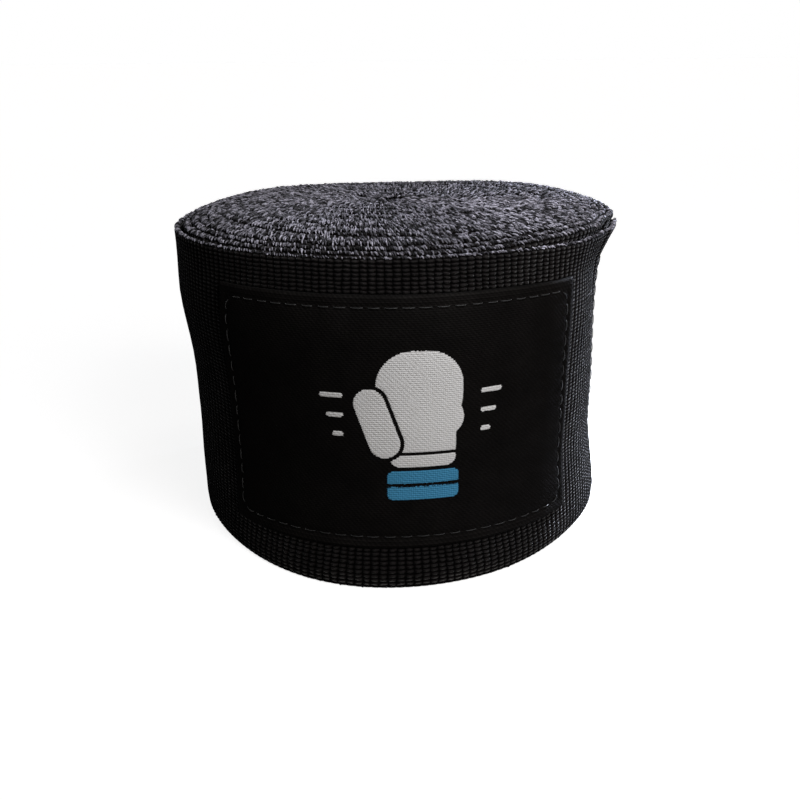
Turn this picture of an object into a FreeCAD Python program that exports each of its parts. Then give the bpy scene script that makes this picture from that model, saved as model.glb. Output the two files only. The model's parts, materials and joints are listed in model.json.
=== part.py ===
import FreeCAD, Part
import Sketcher
import math
import os

# A boxer's hand wrap, rolled up and standing on its edge. Millimetres, +Z up along the roll.
#
# One woven strap is wound from its thumb loop, in the core, to its fastening end, outside. The
# last stretch of strap, the flap, carries a woven label outside and hook tape inside, and closes
# on a loop patch that is sewn to the strap one turn below. The strap is divided at three upright
# bend lines, so that the flap can be peeled off the roll: at the root of the flap, half way along
# the label, and at the pull tab.
#
# Angles are bearings about the roll's axis: 0 is the middle of the label, which faces -Y, and a
# bearing grows anticlockwise seen from above, towards +X. The strap winds outwards that way too.
# Until the last step the axis of the flap's curve is the Z axis; then every piece is shifted
# together, so that the origin is the middle of the whole roll's foot.

SIZES = (
    ("strap_width", 50.0),
    ("strap_thickness", 0.9),
    ("turn_gap", 0.2),
    ("core_radius", 1.5),
    ("half_turns", 55),
    ("padded_half_turns", 4),
    ("dome_height", 3.0),
    ("fastening_gap", 0.5),
    ("sewn_gap", 0.05),
    ("bend_gap", 0.3),
    ("flap_start", -62.0),
    ("flap_middle", 0.0),
    ("tab_start", 64.0),
    ("tab_end", 84.0),
    ("hem_length", 7.5),
    ("label_start", -44.0),
    ("label_end", 49.0),
    ("label_bottom", 6.0),
    ("label_height", 39.0),
    ("label_thickness", 0.4),
    ("hook_thickness", 0.7),
    ("loop_start", -40.0),
    ("loop_end", 45.0),
    ("loop_margin", 2.5),
    ("loop_thickness", 0.6),
    ("thread_radius", 0.15),
    ("stitch_length", 1.9),
    ("stitch_pitch", 2.5),
    ("label_seam_inset", 1.8),
    ("patch_seam_inset", 1.2),
    ("hem_seam_inset", 1.5),
    ("thumb_tape_width", 16.0),
    ("thumb_tape_thickness", 0.5),
    ("thumb_tape_slit", 0.1),
    ("thumb_tip", 8.0),
    ("tack_rows", 3),
)

HALF_TURN = 180.0
BEARING_ZERO = -90.0
UP = FreeCAD.Vector(0, 0, 1)

doc = FreeCAD.newDocument("hand_wrap")
sheet = doc.addObject("Spreadsheet::Sheet", "Sizes")
for row, (alias, value) in enumerate(SIZES, start=1):
    sheet.set(f"A{row}", alias)
    sheet.set(f"B{row}", str(value))
    sheet.setAlias(f"B{row}", alias)
doc.recompute()

# Sizes that follow from the driving ones, as expressions over the sheet.
HALF_PITCH = "((Sizes.strap_thickness + Sizes.turn_gap) / 2)"
THUMB_PACK = "(2 * Sizes.thumb_tape_thickness + Sizes.thumb_tape_slit)"
PADDED_HALF_PITCH = f"((Sizes.strap_thickness + {THUMB_PACK} + Sizes.turn_gap) / 2)"
ROLL_OUTSIDE = (
    f"(Sizes.core_radius + Sizes.padded_half_turns * {PADDED_HALF_PITCH}"
    f" + (Sizes.half_turns - 1 - Sizes.padded_half_turns) * {HALF_PITCH} + Sizes.strap_thickness)"
)
LOOP_INSIDE = f"({ROLL_OUTSIDE} + Sizes.sewn_gap)"
LOOP_OUTSIDE = f"({LOOP_INSIDE} + Sizes.loop_thickness)"
HOOK_INSIDE = f"({LOOP_OUTSIDE} + Sizes.fastening_gap)"
HOOK_OUTSIDE = f"({HOOK_INSIDE} + Sizes.hook_thickness)"
FLAP_INSIDE = f"({HOOK_OUTSIDE} + Sizes.sewn_gap)"
FLAP_OUTSIDE = f"({FLAP_INSIDE} + Sizes.strap_thickness)"
LABEL_INSIDE = f"({FLAP_OUTSIDE} + Sizes.sewn_gap)"
LABEL_OUTSIDE = f"({LABEL_INSIDE} + Sizes.label_thickness)"
HEM_OUTSIDE = HOOK_OUTSIDE
HEM_INSIDE = f"({HEM_OUTSIDE} - Sizes.strap_thickness)"

FOOT = "0"
STRAP_TOP = "Sizes.strap_width"
LABEL_TOP = "(Sizes.label_bottom + Sizes.label_height)"
LOOP_BOTTOM = "(Sizes.label_bottom + Sizes.loop_margin)"
LOOP_TOP = f"({LABEL_TOP} - Sizes.loop_margin)"

HALF_BEND = f"(Sizes.bend_gap / 2 / {FLAP_INSIDE} * 180 / pi)"
TAB_HEM_START = f"(Sizes.tab_end - Sizes.hem_length / {HEM_OUTSIDE} * 180 / pi)"


def size(expression):
    """The value of a sheet cell, or of an expression over the sheet, as a plain number."""
    value = sheet.evalExpression(expression.replace("Sizes.", ""))
    return float(value)


def at_bearing(radius, bearing, height=0.0):
    """The point at a radius, bearing and height."""
    angle = math.radians(bearing + BEARING_ZERO)
    return FreeCAD.Vector(radius * math.cos(angle), radius * math.sin(angle), height)


def origin_plane(body, role):
    """One of a body's own origin planes, by its role."""
    return next(feature for feature in body.Origin.OriginFeatures if feature.Role == role)


def curved_strip(label, inside, outside, bottom, top, start, end):
    """A strip bent to the roll's curve: an upright rectangle turned about the Z axis."""
    body = doc.addObject("PartDesign::Body", label)
    section = body.newObject("Sketcher::SketchObject", label + "_section")
    section.AttachmentSupport = [(origin_plane(body, "XZ_Plane"), "")]
    section.MapMode = "FlatFace"
    near = size(inside)
    far = size(outside)
    low = size(bottom)
    high = size(top)
    corners = [(near, low), (far, low), (far, high), (near, high)]
    points = [FreeCAD.Vector(x, z, 0) for x, z in corners]
    count = len(points)
    for index in range(count):
        section.addGeometry(Part.LineSegment(points[index], points[(index + 1) % count]), False)
    for index in range(count):
        section.addConstraint(Sketcher.Constraint("Coincident", index, 2, (index + 1) % count, 1))
    for index in (0, 2):
        section.addConstraint(Sketcher.Constraint("Horizontal", index))
    for index in (1, 3):
        section.addConstraint(Sketcher.Constraint("Vertical", index))
    driven = (
        ("inside", "DistanceX", 0, near, inside),
        ("outside", "DistanceX", 1, far, outside),
        ("bottom", "DistanceY", 0, low, bottom),
        ("top", "DistanceY", 2, high, top),
    )
    for name, kind, corner, value, expression in driven:
        number = section.addConstraint(Sketcher.Constraint(kind, -1, 1, corner, 1, value))
        section.renameConstraint(number, name)
        section.setExpression(f"Constraints.{name}", expression)
    turned = body.newObject("PartDesign::Revolution", label + "_turned")
    turned.Profile = section
    turned.ReferenceAxis = (section, ["V_Axis"])
    turned.Midplane = True
    turned.setExpression("Angle", f"({end}) - ({start})")
    middle = (size(start) + size(end)) / 2
    body.Placement = FreeCAD.Placement(
        FreeCAD.Vector(), FreeCAD.Rotation(UP, middle + BEARING_ZERO)
    )
    return body


def spiral_arcs(radii, first_bearing):
    """The half-turn arcs of a spiral that ends as an arc about the Z axis.

    Each arc is (centre, radius, bearing where it starts, bearing where it ends). Going back from
    the last arc, each centre moves along the line that all the arcs meet on, so that they join
    smoothly.
    """
    last = len(radii) - 1
    centre = FreeCAD.Vector()
    arcs = []
    for index in range(last, -1, -1):
        start = first_bearing + HALF_TURN * index
        if arcs:
            centre = centre - at_bearing(radii[index + 1] - radii[index], start)
        arcs.insert(0, (centre, radii[index], start, start + HALF_TURN))
    return arcs


def arc_edges(arcs, offset):
    """The edges of a spiral, moved outwards by an offset."""
    edges = []
    for centre, radius, start, end in arcs:
        bearings = (start, (start + end) / 2, end)
        points = [centre + at_bearing(radius + offset, bearing) for bearing in bearings]
        edges.append(Part.Arc(*points).toShape())
    return edges


def band_face(arcs, near, far):
    """The flat face between two offsets of a spiral."""
    inner = arc_edges(arcs, near)
    outer = arc_edges(arcs, far)
    start_cap = Part.makeLine(outer[0].Vertexes[0].Point, inner[0].Vertexes[0].Point)
    end_cap = Part.makeLine(inner[-1].Vertexes[-1].Point, outer[-1].Vertexes[-1].Point)
    return Part.Face(Part.Wire(inner + [end_cap] + outer[::-1] + [start_cap]))


def upright_extrusion(name, face, height):
    """A solid raised from a flat face."""
    outline = doc.addObject("Part::Feature", name + "_outline")
    outline.Shape = face
    solid = doc.addObject("Part::Extrusion", name)
    solid.Base = outline
    solid.DirMode = "Custom"
    solid.Dir = UP
    solid.setExpression("LengthFwd", height)
    solid.Solid = True
    return solid


def dome_ball(name, crown):
    """A large ball whose crown is at a height, and which falls by dome_height at the roll's rim."""
    ball = doc.addObject("Part::Sphere", name)
    radius = f"(({ROLL_OUTSIDE} ^ 2 + Sizes.dome_height ^ 2) / (2 * Sizes.dome_height))"
    ball.setExpression("Radius", radius)
    ball.setExpression("Placement.Base.z", f"{crown} - {radius}")
    return ball


def strap_arcs():
    """The arcs of the strap's inner face, from the core to the root of the flap.

    The first turns are wider apart, because the thumb loop is wound in with them. The last half
    turn swings out to the flap, which stands off the roll by the thickness of the fastening.
    """
    radius = size("core_radius")
    radii = [radius]
    for index in range(int(size("half_turns")) - 1):
        padded = index < size("padded_half_turns")
        radius += size(PADDED_HALF_PITCH) if padded else size(HALF_PITCH)
        radii.append(radius)
    radii.append((radius + size(FLAP_INSIDE)) / 2)
    radii.append(size(FLAP_INSIDE))
    first_bearing = size("flap_start") - HALF_TURN * (len(radii) - 1)
    return spiral_arcs(radii, first_bearing)[:-1]


def wound_strap(arcs):
    """The strap wound up: its inner turns are pushed up into a dome, and its last turn is level."""
    face = band_face(arcs, 0.0, size("strap_thickness"))
    tall = upright_extrusion("strap_wound_tall", face, "Sizes.strap_width + Sizes.dome_height")
    level = doc.addObject("Part::Cylinder", "strap_level")
    level.setExpression("Radius", f"{LABEL_OUTSIDE} + Sizes.strap_thickness")
    level.setExpression("Height", "Sizes.strap_width")
    envelope = doc.addObject("Part::Fuse", "strap_envelope")
    envelope.Base = level
    envelope.Tool = dome_ball("dome_top", "Sizes.strap_width + Sizes.dome_height")
    under_top = doc.addObject("Part::Common", "strap_under_dome")
    under_top.Base = tall
    under_top.Tool = envelope
    strap = doc.addObject("Part::Cut", "strap_roll")
    strap.Base = under_top
    strap.Tool = dome_ball("dome_foot", "Sizes.dome_height")
    return strap


def thumb_arcs(arcs):
    """The strap's arcs that the thumb loop lies inside."""
    return arcs[1 : int(size("padded_half_turns")) + 1]


def thumb_loop(arcs):
    """A loop of narrow tape, folded flat along the strap's inner end and wound in with it.

    Its two legs start together at the strap's end, and meet again at the loop's tip.
    """
    clear = size("turn_gap") / 2
    tape = size("thumb_tape_thickness")
    pack = size(THUMB_PACK)
    laid = thumb_arcs(arcs)
    centre, radius, start, end = laid[-1]
    slit_arcs = laid[:-1] + [(centre, radius, start, end - size("thumb_tip"))]
    legs = band_face(laid, -clear - pack, -clear)
    slit = band_face(slit_arcs, -clear - pack + tape, -clear - tape)
    loop = upright_extrusion("thumb_loop", legs.cut(slit), "Sizes.thumb_tape_width")
    middle = "(Sizes.strap_width + Sizes.dome_height)"
    loop.setExpression("Placement.Base.z", f"{middle} / 2 - Sizes.thumb_tape_width / 2")
    return loop


def stitch(middle, along):
    """One stitch: a short round length of thread."""
    length = size("stitch_length")
    start = middle - along * (length / 2)
    return Part.makeCylinder(size("thread_radius"), length, start, along)


def places(first, last, spacing):
    """Evenly spaced places between two limits, as near to the spacing as fits."""
    count = int((last - first) / spacing)
    return [first + (last - first) * (index + 0.5) / count for index in range(count)]


def level_rows(radius, first, last, heights):
    """Rows of running stitches that follow the roll's curve."""
    spacing = math.degrees(size("stitch_pitch") / radius)
    return [
        stitch(at_bearing(radius, bearing, height), at_bearing(1.0, bearing + 90))
        for height in heights
        for bearing in places(first, last, spacing)
    ]


def upright_rows(radius, bearings, low, high):
    """Rows of running stitches up the roll."""
    return [
        stitch(at_bearing(radius, bearing, height), UP)
        for bearing in bearings
        for height in places(low, high, size("stitch_pitch"))
    ]


def on_face(radius):
    """The radius of a thread's middle, where it lies on the outside of a curved face."""
    return radius + size("sewn_gap") / 2 + size("thread_radius")


def seam(label, stitches):
    """One sewn seam, as separate stitches."""
    node = doc.addObject("Part::Feature", label)
    node.Shape = Part.makeCompound(stitches)
    return node


def strap_pieces(arcs):
    """The strap: the roll, the two halves of the flap, and the pull tab with its folded hem."""
    spans = (
        ("strap_flap_inner", f"Sizes.flap_start + 2 * {HALF_BEND}", f"Sizes.flap_middle - {HALF_BEND}"),
        ("strap_flap_outer", f"Sizes.flap_middle + {HALF_BEND}", f"Sizes.tab_start - {HALF_BEND}"),
        ("strap_pull_tab", f"Sizes.tab_start + {HALF_BEND}", "Sizes.tab_end"),
    )
    made = [wound_strap(arcs)]
    for name, start, end in spans:
        made.append(curved_strip(name, FLAP_INSIDE, FLAP_OUTSIDE, FOOT, STRAP_TOP, start, end))
    made.append(
        curved_strip("tab_hem", HEM_INSIDE, HEM_OUTSIDE, FOOT, STRAP_TOP, TAB_HEM_START, "Sizes.tab_end")
    )
    return made


def fastening_pieces():
    """The label outside the flap, the hook tape inside it, and the loop patch on the roll."""
    spans = (
        ("inner", "Sizes.label_start", f"Sizes.flap_middle - {HALF_BEND}"),
        ("outer", f"Sizes.flap_middle + {HALF_BEND}", "Sizes.label_end"),
    )
    foot = "Sizes.label_bottom"
    made = []
    for half, start, end in spans:
        name = f"label_{half}_half"
        made.append(curved_strip(name, LABEL_INSIDE, LABEL_OUTSIDE, foot, LABEL_TOP, start, end))
        name = f"hook_tape_{half}"
        made.append(curved_strip(name, HOOK_INSIDE, HOOK_OUTSIDE, foot, LABEL_TOP, start, end))
    made.append(
        curved_strip(
            "loop_patch",
            LOOP_INSIDE,
            LOOP_OUTSIDE,
            LOOP_BOTTOM,
            LOOP_TOP,
            "Sizes.loop_start",
            "Sizes.loop_end",
        )
    )
    return made


def label_seams():
    """The label's stitching, in the same halves as the label, with none across the bend line."""
    radius = on_face(size(LABEL_OUTSIDE))
    inset = size("label_seam_inset")
    turn = math.degrees(inset / radius)
    low = size("label_bottom") + inset
    high = size(LABEL_TOP) - inset
    middle = size("flap_middle")
    bend = size(HALF_BEND)
    first = size("label_start") + turn
    last = size("label_end") - turn
    inner = level_rows(radius, first, middle - bend, (low, high))
    inner += upright_rows(radius, (first,), low, high)
    outer = level_rows(radius, middle + bend, last, (low, high))
    outer += upright_rows(radius, (last,), low, high)
    return [seam("label_stitching_inner", inner), seam("label_stitching_outer", outer)]


def patch_seam():
    """The stitching round the loop patch."""
    radius = on_face(size(LOOP_OUTSIDE))
    inset = size("patch_seam_inset")
    turn = math.degrees(inset / radius)
    low = size(LOOP_BOTTOM) + inset
    high = size(LOOP_TOP) - inset
    first = size("loop_start") + turn
    last = size("loop_end") - turn
    stitches = level_rows(radius, first, last, (low, high))
    stitches += upright_rows(radius, (first, last), low, high)
    return seam("loop_patch_stitching", stitches)


def hem_seam():
    """The stitching up the pull tab's hem."""
    radius = on_face(size(FLAP_OUTSIDE))
    inset = size("hem_seam_inset")
    bearing = size(TAB_HEM_START) + math.degrees(inset / radius)
    stitches = upright_rows(radius, (bearing,), inset, size("strap_width") - inset)
    return seam("tab_hem_stitching", stitches)


def thumb_seam(arcs):
    """The bar tack that holds the thumb loop's two ends to the strap: short rows side by side."""
    centre, radius, start, end = thumb_arcs(arcs)[0]
    clear = size("turn_gap") / 2 + size("sewn_gap")
    row_radius = radius - clear - size(THUMB_PACK) - size("thread_radius")
    reach = (size("thumb_tape_width") - size("stitch_pitch")) / 2
    middle = (size("strap_width") + size("dome_height")) / 2
    rows = int(size("tack_rows"))
    bearings = [start + (end - start) * (row + 1) / (2 * rows) for row in range(rows)]
    stitches = upright_rows(row_radius, bearings, middle - reach, middle + reach)
    for each in stitches:
        each.translate(centre)
    return seam("thumb_loop_stitching", stitches)


arcs = strap_arcs()
pieces = strap_pieces(arcs)
pieces += fastening_pieces()
pieces.append(thumb_loop(arcs))
pieces += label_seams()
pieces.append(patch_seam())
pieces.append(hem_seam())
pieces.append(thumb_seam(arcs))
doc.recompute()

# The origin is the middle of the whole roll's foot.
box = FreeCAD.BoundBox()
for piece in pieces:
    box.add(piece.Shape.optimalBoundingBox(False))
shift = FreeCAD.Vector(-box.Center.x, -box.Center.y, -box.ZMin)
for piece in pieces:
    piece.Placement.Base = piece.Placement.Base + shift
doc.recompute()

for item in doc.Objects:
    if "Invalid" in item.State or "Error" in item.State:
        raise RuntimeError(f"{item.Label} failed: {item.State}")
for piece in pieces:
    if piece.Shape.isNull() or not piece.Shape.isValid():
        raise RuntimeError(f"{piece.Label} has no valid shape")

os.makedirs("parts", exist_ok=True)
for piece in pieces:
    piece.Shape.exportStep(f"parts/{piece.Label}.step")

# What a reader needs to know of the result: the strap's length, the bend lines and the foot.
mean_offset = size("strap_thickness") / 2
wound_length = sum(math.pi * (arc[1] + mean_offset) for arc in arcs)
flap_length = math.radians(size("tab_end") - size("flap_start")) * (size(FLAP_INSIDE) + mean_offset)
thumb_length = sum(math.pi * (arc[1] - size(THUMB_PACK) / 2) for arc in thumb_arcs(arcs))
bend_radius = on_face(size(LABEL_OUTSIDE)) + size("thread_radius")
print("pieces", len(pieces))
print("strap length with its hem", round(wound_length + flap_length + size("hem_length")))
print("thumb loop length", round(thumb_length))
print("size", round(box.XLength, 3), round(box.YLength, 3), round(box.ZLength, 3))
print("axis of the flap's curve", shift)
for alias in ("flap_start", "flap_middle", "tab_start"):
    print("bend line", alias, shift + at_bearing(bend_radius, size(alias)))
last_centre, last_radius = arcs[-1][:2]
print("foot point", shift + last_centre + at_bearing(last_radius + mean_offset, HALF_TURN))
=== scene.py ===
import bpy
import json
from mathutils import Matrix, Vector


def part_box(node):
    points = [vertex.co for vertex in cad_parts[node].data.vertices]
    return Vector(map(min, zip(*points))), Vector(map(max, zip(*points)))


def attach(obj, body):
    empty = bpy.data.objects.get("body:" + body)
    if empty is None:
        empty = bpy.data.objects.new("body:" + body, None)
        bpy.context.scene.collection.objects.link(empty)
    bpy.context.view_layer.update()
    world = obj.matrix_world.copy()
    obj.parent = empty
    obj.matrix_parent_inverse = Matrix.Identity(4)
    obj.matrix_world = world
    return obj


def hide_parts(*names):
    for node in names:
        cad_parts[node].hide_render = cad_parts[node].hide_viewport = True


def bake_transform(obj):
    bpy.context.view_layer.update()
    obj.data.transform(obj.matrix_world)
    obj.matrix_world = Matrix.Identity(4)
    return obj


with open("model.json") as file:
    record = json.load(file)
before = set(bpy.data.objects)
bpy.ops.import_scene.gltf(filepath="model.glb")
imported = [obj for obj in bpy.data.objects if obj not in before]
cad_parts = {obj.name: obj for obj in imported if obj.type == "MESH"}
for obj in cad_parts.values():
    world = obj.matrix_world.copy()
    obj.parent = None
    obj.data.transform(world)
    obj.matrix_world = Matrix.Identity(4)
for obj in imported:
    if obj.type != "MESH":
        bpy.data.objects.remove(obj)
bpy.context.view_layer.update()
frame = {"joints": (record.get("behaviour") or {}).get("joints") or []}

import json
import math

import bpy
import numpy as np
from mathutils import Euler, Vector

# The looks of a rolled hand wrap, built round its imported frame. Metres, +Z up, label facing -Y.
#
# Every piece is laid out in the roll's own coordinates: a bearing about the axis of the flap's
# curve (0 at the middle of the label, growing anticlockwise, in degrees), a radius and a height.
# place() then gives the cloth its real, slightly slack shape, the same for every layer.

MM = 0.001
SEED = 11

# Sizes that the frame's boxes don't give, as in the part.
STRAP_WIDTH = 50.0 * MM
STRAP_THICKNESS = 0.9 * MM
TURN_PITCH = 1.1 * MM
PADDED_PITCH = 2.2 * MM
PADDED_HALF_TURNS = 4
HALF_TURNS = 55

# The half turns that would fill the roll to its middle at the plain pitch.
PACKED_HALF_TURNS = 61


# -------- the frame's measures

def pivot(name):
    """The place of a joint's axis."""
    joint = next(each for each in frame["joints"] if each["name"] == name)
    return Vector(joint["pos_m"])


def circle_centre(a, b, c):
    """The centre of the circle through three points, in plan."""
    rows = np.array([[b.x - a.x, b.y - a.y], [c.x - a.x, c.y - a.y]])
    half_squares = np.array([(b.xy.length_squared - a.xy.length_squared) / 2,
                             (c.xy.length_squared - a.xy.length_squared) / 2])
    return np.linalg.solve(rows, half_squares)


PEEL, CURL, LIFT = (pivot(name) for name in ("flap_peel", "flap_curl", "tab_lift"))
AXIS = circle_centre(PEEL, CURL, LIFT)


def bearing_of(point):
    """The bearing of a point about the axis, in degrees."""
    return math.degrees(math.atan2(point[0] - AXIS[0], -(point[1] - AXIS[1])))


def front_radius(node):
    """The outer radius of a curved node that reaches the front of the roll."""
    return AXIS[1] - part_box(node)[0].y


def side_bearing(node, radius, side):
    """The bearing of a curved node's end on the left (-1) or the right (1) of the roll."""
    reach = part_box(node)[0 if side < 0 else 1].x - AXIS[0]
    return math.degrees(math.asin(reach / radius))


PEEL_AT, CURL_AT, LIFT_AT = (bearing_of(point) for point in (PEEL, CURL, LIFT))
FLAP_OUTSIDE = front_radius("strap_flap_inner")
FLAP_INSIDE = FLAP_OUTSIDE - STRAP_THICKNESS
LABEL_OUTSIDE = front_radius("label_inner_half")
HOOK_OUTSIDE = front_radius("hook_tape_inner")
PATCH_OUTSIDE = front_radius("loop_patch")
LABEL_LOW, LABEL_HIGH = (corner.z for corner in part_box("label_inner_half"))
PATCH_LOW, PATCH_HIGH = (corner.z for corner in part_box("loop_patch"))
LABEL_START = side_bearing("label_inner_half", LABEL_OUTSIDE, -1)
LABEL_END = side_bearing("label_outer_half", LABEL_OUTSIDE, 1)
PATCH_START = side_bearing("loop_patch", PATCH_OUTSIDE, -1)
PATCH_END = side_bearing("loop_patch", PATCH_OUTSIDE, 1)
TAB_END = side_bearing("strap_pull_tab", FLAP_OUTSIDE, 1)
LABEL_THICKNESS = 0.4 * MM
LABEL_SEAM_INSET = 1.8 * MM
HOOK_THICKNESS = 0.7 * MM
PATCH_THICKNESS = 0.6 * MM
SEWN_GAP = 0.05 * MM
HEM_LENGTH = 7.5 * MM
HEM_ROOM = STRAP_THICKNESS + SEWN_GAP
HEM_START = TAB_END - math.degrees(HEM_LENGTH / FLAP_OUTSIDE)
ROLL_INSIDE = PATCH_OUTSIDE - PATCH_THICKNESS - SEWN_GAP - STRAP_THICKNESS


# -------- the cloth's slack shape

# Each swell is how far the cloth moves in millimetres, the two levels in millimetres between
# which it grows from nothing, the bearing it is centred on and its half width in degrees.
EVERYWHERE = (-2, -1)

# Outwards, by height, in the outermost turns. This slack fades quickly with depth.
SLACK_DEPTH = 2.6 * MM
SLACK = (
    (-1.5, EVERYWHERE, -90, 90),  # the left side is drawn in
    (2.85, (23, 52), -90, 90),    # and leans out towards its top
    (-1.4, EVERYWHERE, 90, 90),   # the right side is drawn in
    (1.65, (16, 0), 90, 90),      # except at its foot
    (1.0, (34, 50), 90, 90),      # and at its top
    (0.6, (16, 6), -2, 64),       # the front swells towards its foot
    (2.8, (8, 0.5), -2, 64),      # and most at its lower edge
)

# Outwards, by height, through many turns: the flared rim.
FLARE_DEPTH = 22 * MM
FLARE = (
    (1.6, (45.5, 50), 76, 40),    # the lip at the right
    (3.4, (42, 50), 126, 64),     # the shoulder behind it
)

# Outwards, by height: the turns behind the flap's end lean out to meet it.
FOLLOW_DEPTH = 9 * MM
FOLLOW = ((2.4, (42, 50), 98, 45),)
FOLLOW_STARTS = (78, 90)

# Upwards, by radius: the corners, the droop and the small step of the rim.
RIM = (
    (1.3, (22, 34), 132, 50),     # the back right corner
    (0.8, (22, 34), -128, 50),    # the back left corner
    (-0.5, (33, 36), 62, 45),     # the outermost turns droop at the front right
    (0.6, (29, 33.8), 54, 38),    # the next ones stand up there
    (-0.6, (34.2, 36.6), 54, 38),
    (-0.3, (31, 37), -88, 60),    # the left is bevelled
)
RIM_HEIGHTS = (10 * MM, 40 * MM)

# How the rim closes the slack under the outermost turn, as shares of the gap. It closes between
# the low and high heights, and sooner at the flap's end.
CLOSING_PUSH = 0.38
CLOSING_PULL = 0.58
CLOSING_DEPTH = 3.5 * MM
CLOSING_LOW, CLOSING_HIGH = 38 * MM, 49 * MM
CLOSING_SOONER_LOW, CLOSING_SOONER_HIGH = 18 * MM, 7 * MM
PUSH_FROM = PEEL_AT + 190
HEM_EASE = 4
EASED_SHARE = 0.5
EASED_AT = (46, 30)
FLAP_END_WIDTH = 30

# The top of the roll: a dome, with hills and hollows as height, middle in plan and size, all in
# millimetres, and a slight unevenness from turn to turn.
DOME_RADIUS = 35.0 * MM
DOME_HEIGHT = 2.8 * MM
DOME_POWER = 6
HILLS = ((0.9, (1, 3), 3.5), (-1.1, (-4, 6), 2.5), (-0.9, (12, 3), 3), (-0.5, (-9, -4), 5))
UNEVEN = 0.22 * MM
UNEVEN_WAVES = (530, 287, 1370)
UNEVEN_RADII = (36 * MM, 30 * MM)

# Small wandering of the cloth, outwards: round the roll, up its outer turns, and up its inner ones.
WAVER = 0.16 * MM
WAVER_WAVES = (120, 72, 45)
WAVER_SLANT = 400
CREASE = 0.08 * MM
CREASE_WAVES = (31 * MM, 13 * MM)
SWAY = 0.28 * MM
SWAY_WAVES = (37 * MM, 17 * MM)
SWAY_INNER = (9 * MM, 12 * MM)
SWAY_OUTER = (33 * MM, 29 * MM)

# The lower edge is tucked in, and the core is squeezed to an oval.
TUCK = 0.3 * MM
TUCK_HEIGHT = 1.5 * MM
CORE_SQUEEZE = 0.22
CORE_DEPTH = 6 * MM


def window(bearing, middle, half_width):
    """A smooth bump round the roll: 1 at the middle bearing, 0 beyond the half width."""
    away = np.abs((bearing - middle + 180) % 360 - 180)
    return 0.5 + 0.5 * np.cos(np.pi * np.clip(away / half_width, 0, 1))


def ramp(value, low, high):
    """0 below low, 1 above high, smooth between. high may be the lower of the two."""
    share = np.clip((value - low) / (high - low), 0, 1)
    return share * share * (3 - 2 * share)


def ripple(value, wavelengths, seed):
    """A smooth, repeatable wander between about -1 and 1."""
    phases = np.random.default_rng(seed).uniform(0, 2 * np.pi, len(wavelengths))
    waves = [np.sin(2 * np.pi * value / length + phase) for length, phase in zip(wavelengths, phases)]
    return sum(waves) / len(wavelengths)


def mound(x, y, middle, size):
    """A round hill, or a hollow when used with a minus, about a point of the roll's top."""
    away = ((x - middle[0] * MM) ** 2 + (y - middle[1] * MM) ** 2) / (size * MM) ** 2
    return np.exp(-away)


def swells(entries, bearing, level):
    """How far some swells move the cloth at a bearing and a level: a height or a radius."""
    total = 0
    for amount, (low, high), middle, half_width in entries:
        grown = ramp(level, low * MM, high * MM)
        total = total + amount * MM * grown * window(bearing, middle, half_width)
    return total


def closing(bearing, radius):
    """How the rim closes the slack under the outermost turn, less so at the right."""
    turned = (bearing - PEEL_AT - 180) % 360 + PEEL_AT - 180
    hem = HEM_ROOM * ramp(turned, HEM_START - HEM_EASE, HEM_START)
    top = strap_radius(turned) - hem
    under = strap_radius(turned - 360) + STRAP_THICKNESS
    share = np.clip((radius - under) / (top - under), 0, 1)
    fading = np.exp(-np.clip(under - radius, 0, None) / CLOSING_DEPTH)
    push = CLOSING_PUSH * fading * ramp(turned, PUSH_FROM, TAB_END)
    pull = CLOSING_PULL * (1 - EASED_SHARE * window(bearing, *EASED_AT))
    return (top - under) * (push * (1 - share) - pull * share)


def wandering(bearing, radius, height, loose):
    """How far the cloth wanders outwards from its smooth shape."""
    waver = WAVER * ripple(bearing + height * WAVER_SLANT, WAVER_WAVES, SEED)
    crease = CREASE * ripple(height, CREASE_WAVES, SEED)
    sway = SWAY * ripple(height, SWAY_WAVES, SEED + 9)
    return loose * (waver + crease) + sway * ramp(radius, *SWAY_INNER) * ramp(radius, *SWAY_OUTER)


def lean(bearing, radius, height):
    """How far slack carries the cloth outwards."""
    depth = np.clip(FLAP_INSIDE - radius, 0, None)
    loose = np.exp(-depth / SLACK_DEPTH)
    tuck = TUCK * ramp(height, TUCK_HEIGHT, 0) ** 2
    outer = loose * (swells(SLACK, bearing, height) - tuck)
    flare = np.exp(-depth / FLARE_DEPTH) * swells(FLARE, bearing, height)
    behind = 1 - ramp(radius, ROLL_INSIDE + STRAP_THICKNESS, FLAP_INSIDE)
    follow = swells(FOLLOW, bearing, height) * ramp(bearing % 360, *FOLLOW_STARTS)
    follow = follow * np.exp(-depth / FOLLOW_DEPTH) * behind
    end = window(bearing, TAB_END, FLAP_END_WIDTH)
    low = CLOSING_LOW - CLOSING_SOONER_LOW * end
    high = CLOSING_HIGH - CLOSING_SOONER_HIGH * end
    rim = ramp(height, low, high) * closing(bearing, radius)
    return outer + flare + follow + rim + wandering(bearing, radius, height, loose)


def rise(bearing, radius, height):
    """How far the roll's telescoped turns stand above plain level."""
    x = radius * np.sin(np.radians(bearing))
    y = -radius * np.cos(np.radians(bearing))
    dome = DOME_HEIGHT * (1 - np.clip(radius / DOME_RADIUS, 0, 1) ** DOME_POWER)
    hills = sum(amount * MM * mound(x, y, middle, size) for amount, middle, size in HILLS)
    uneven = UNEVEN * ripple(bearing, UNEVEN_WAVES, SEED + 1) * ramp(radius, *UNEVEN_RADII)
    return dome + ramp(height, *RIM_HEIGHTS) * (hills + uneven + swells(RIM, bearing, radius))


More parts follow.
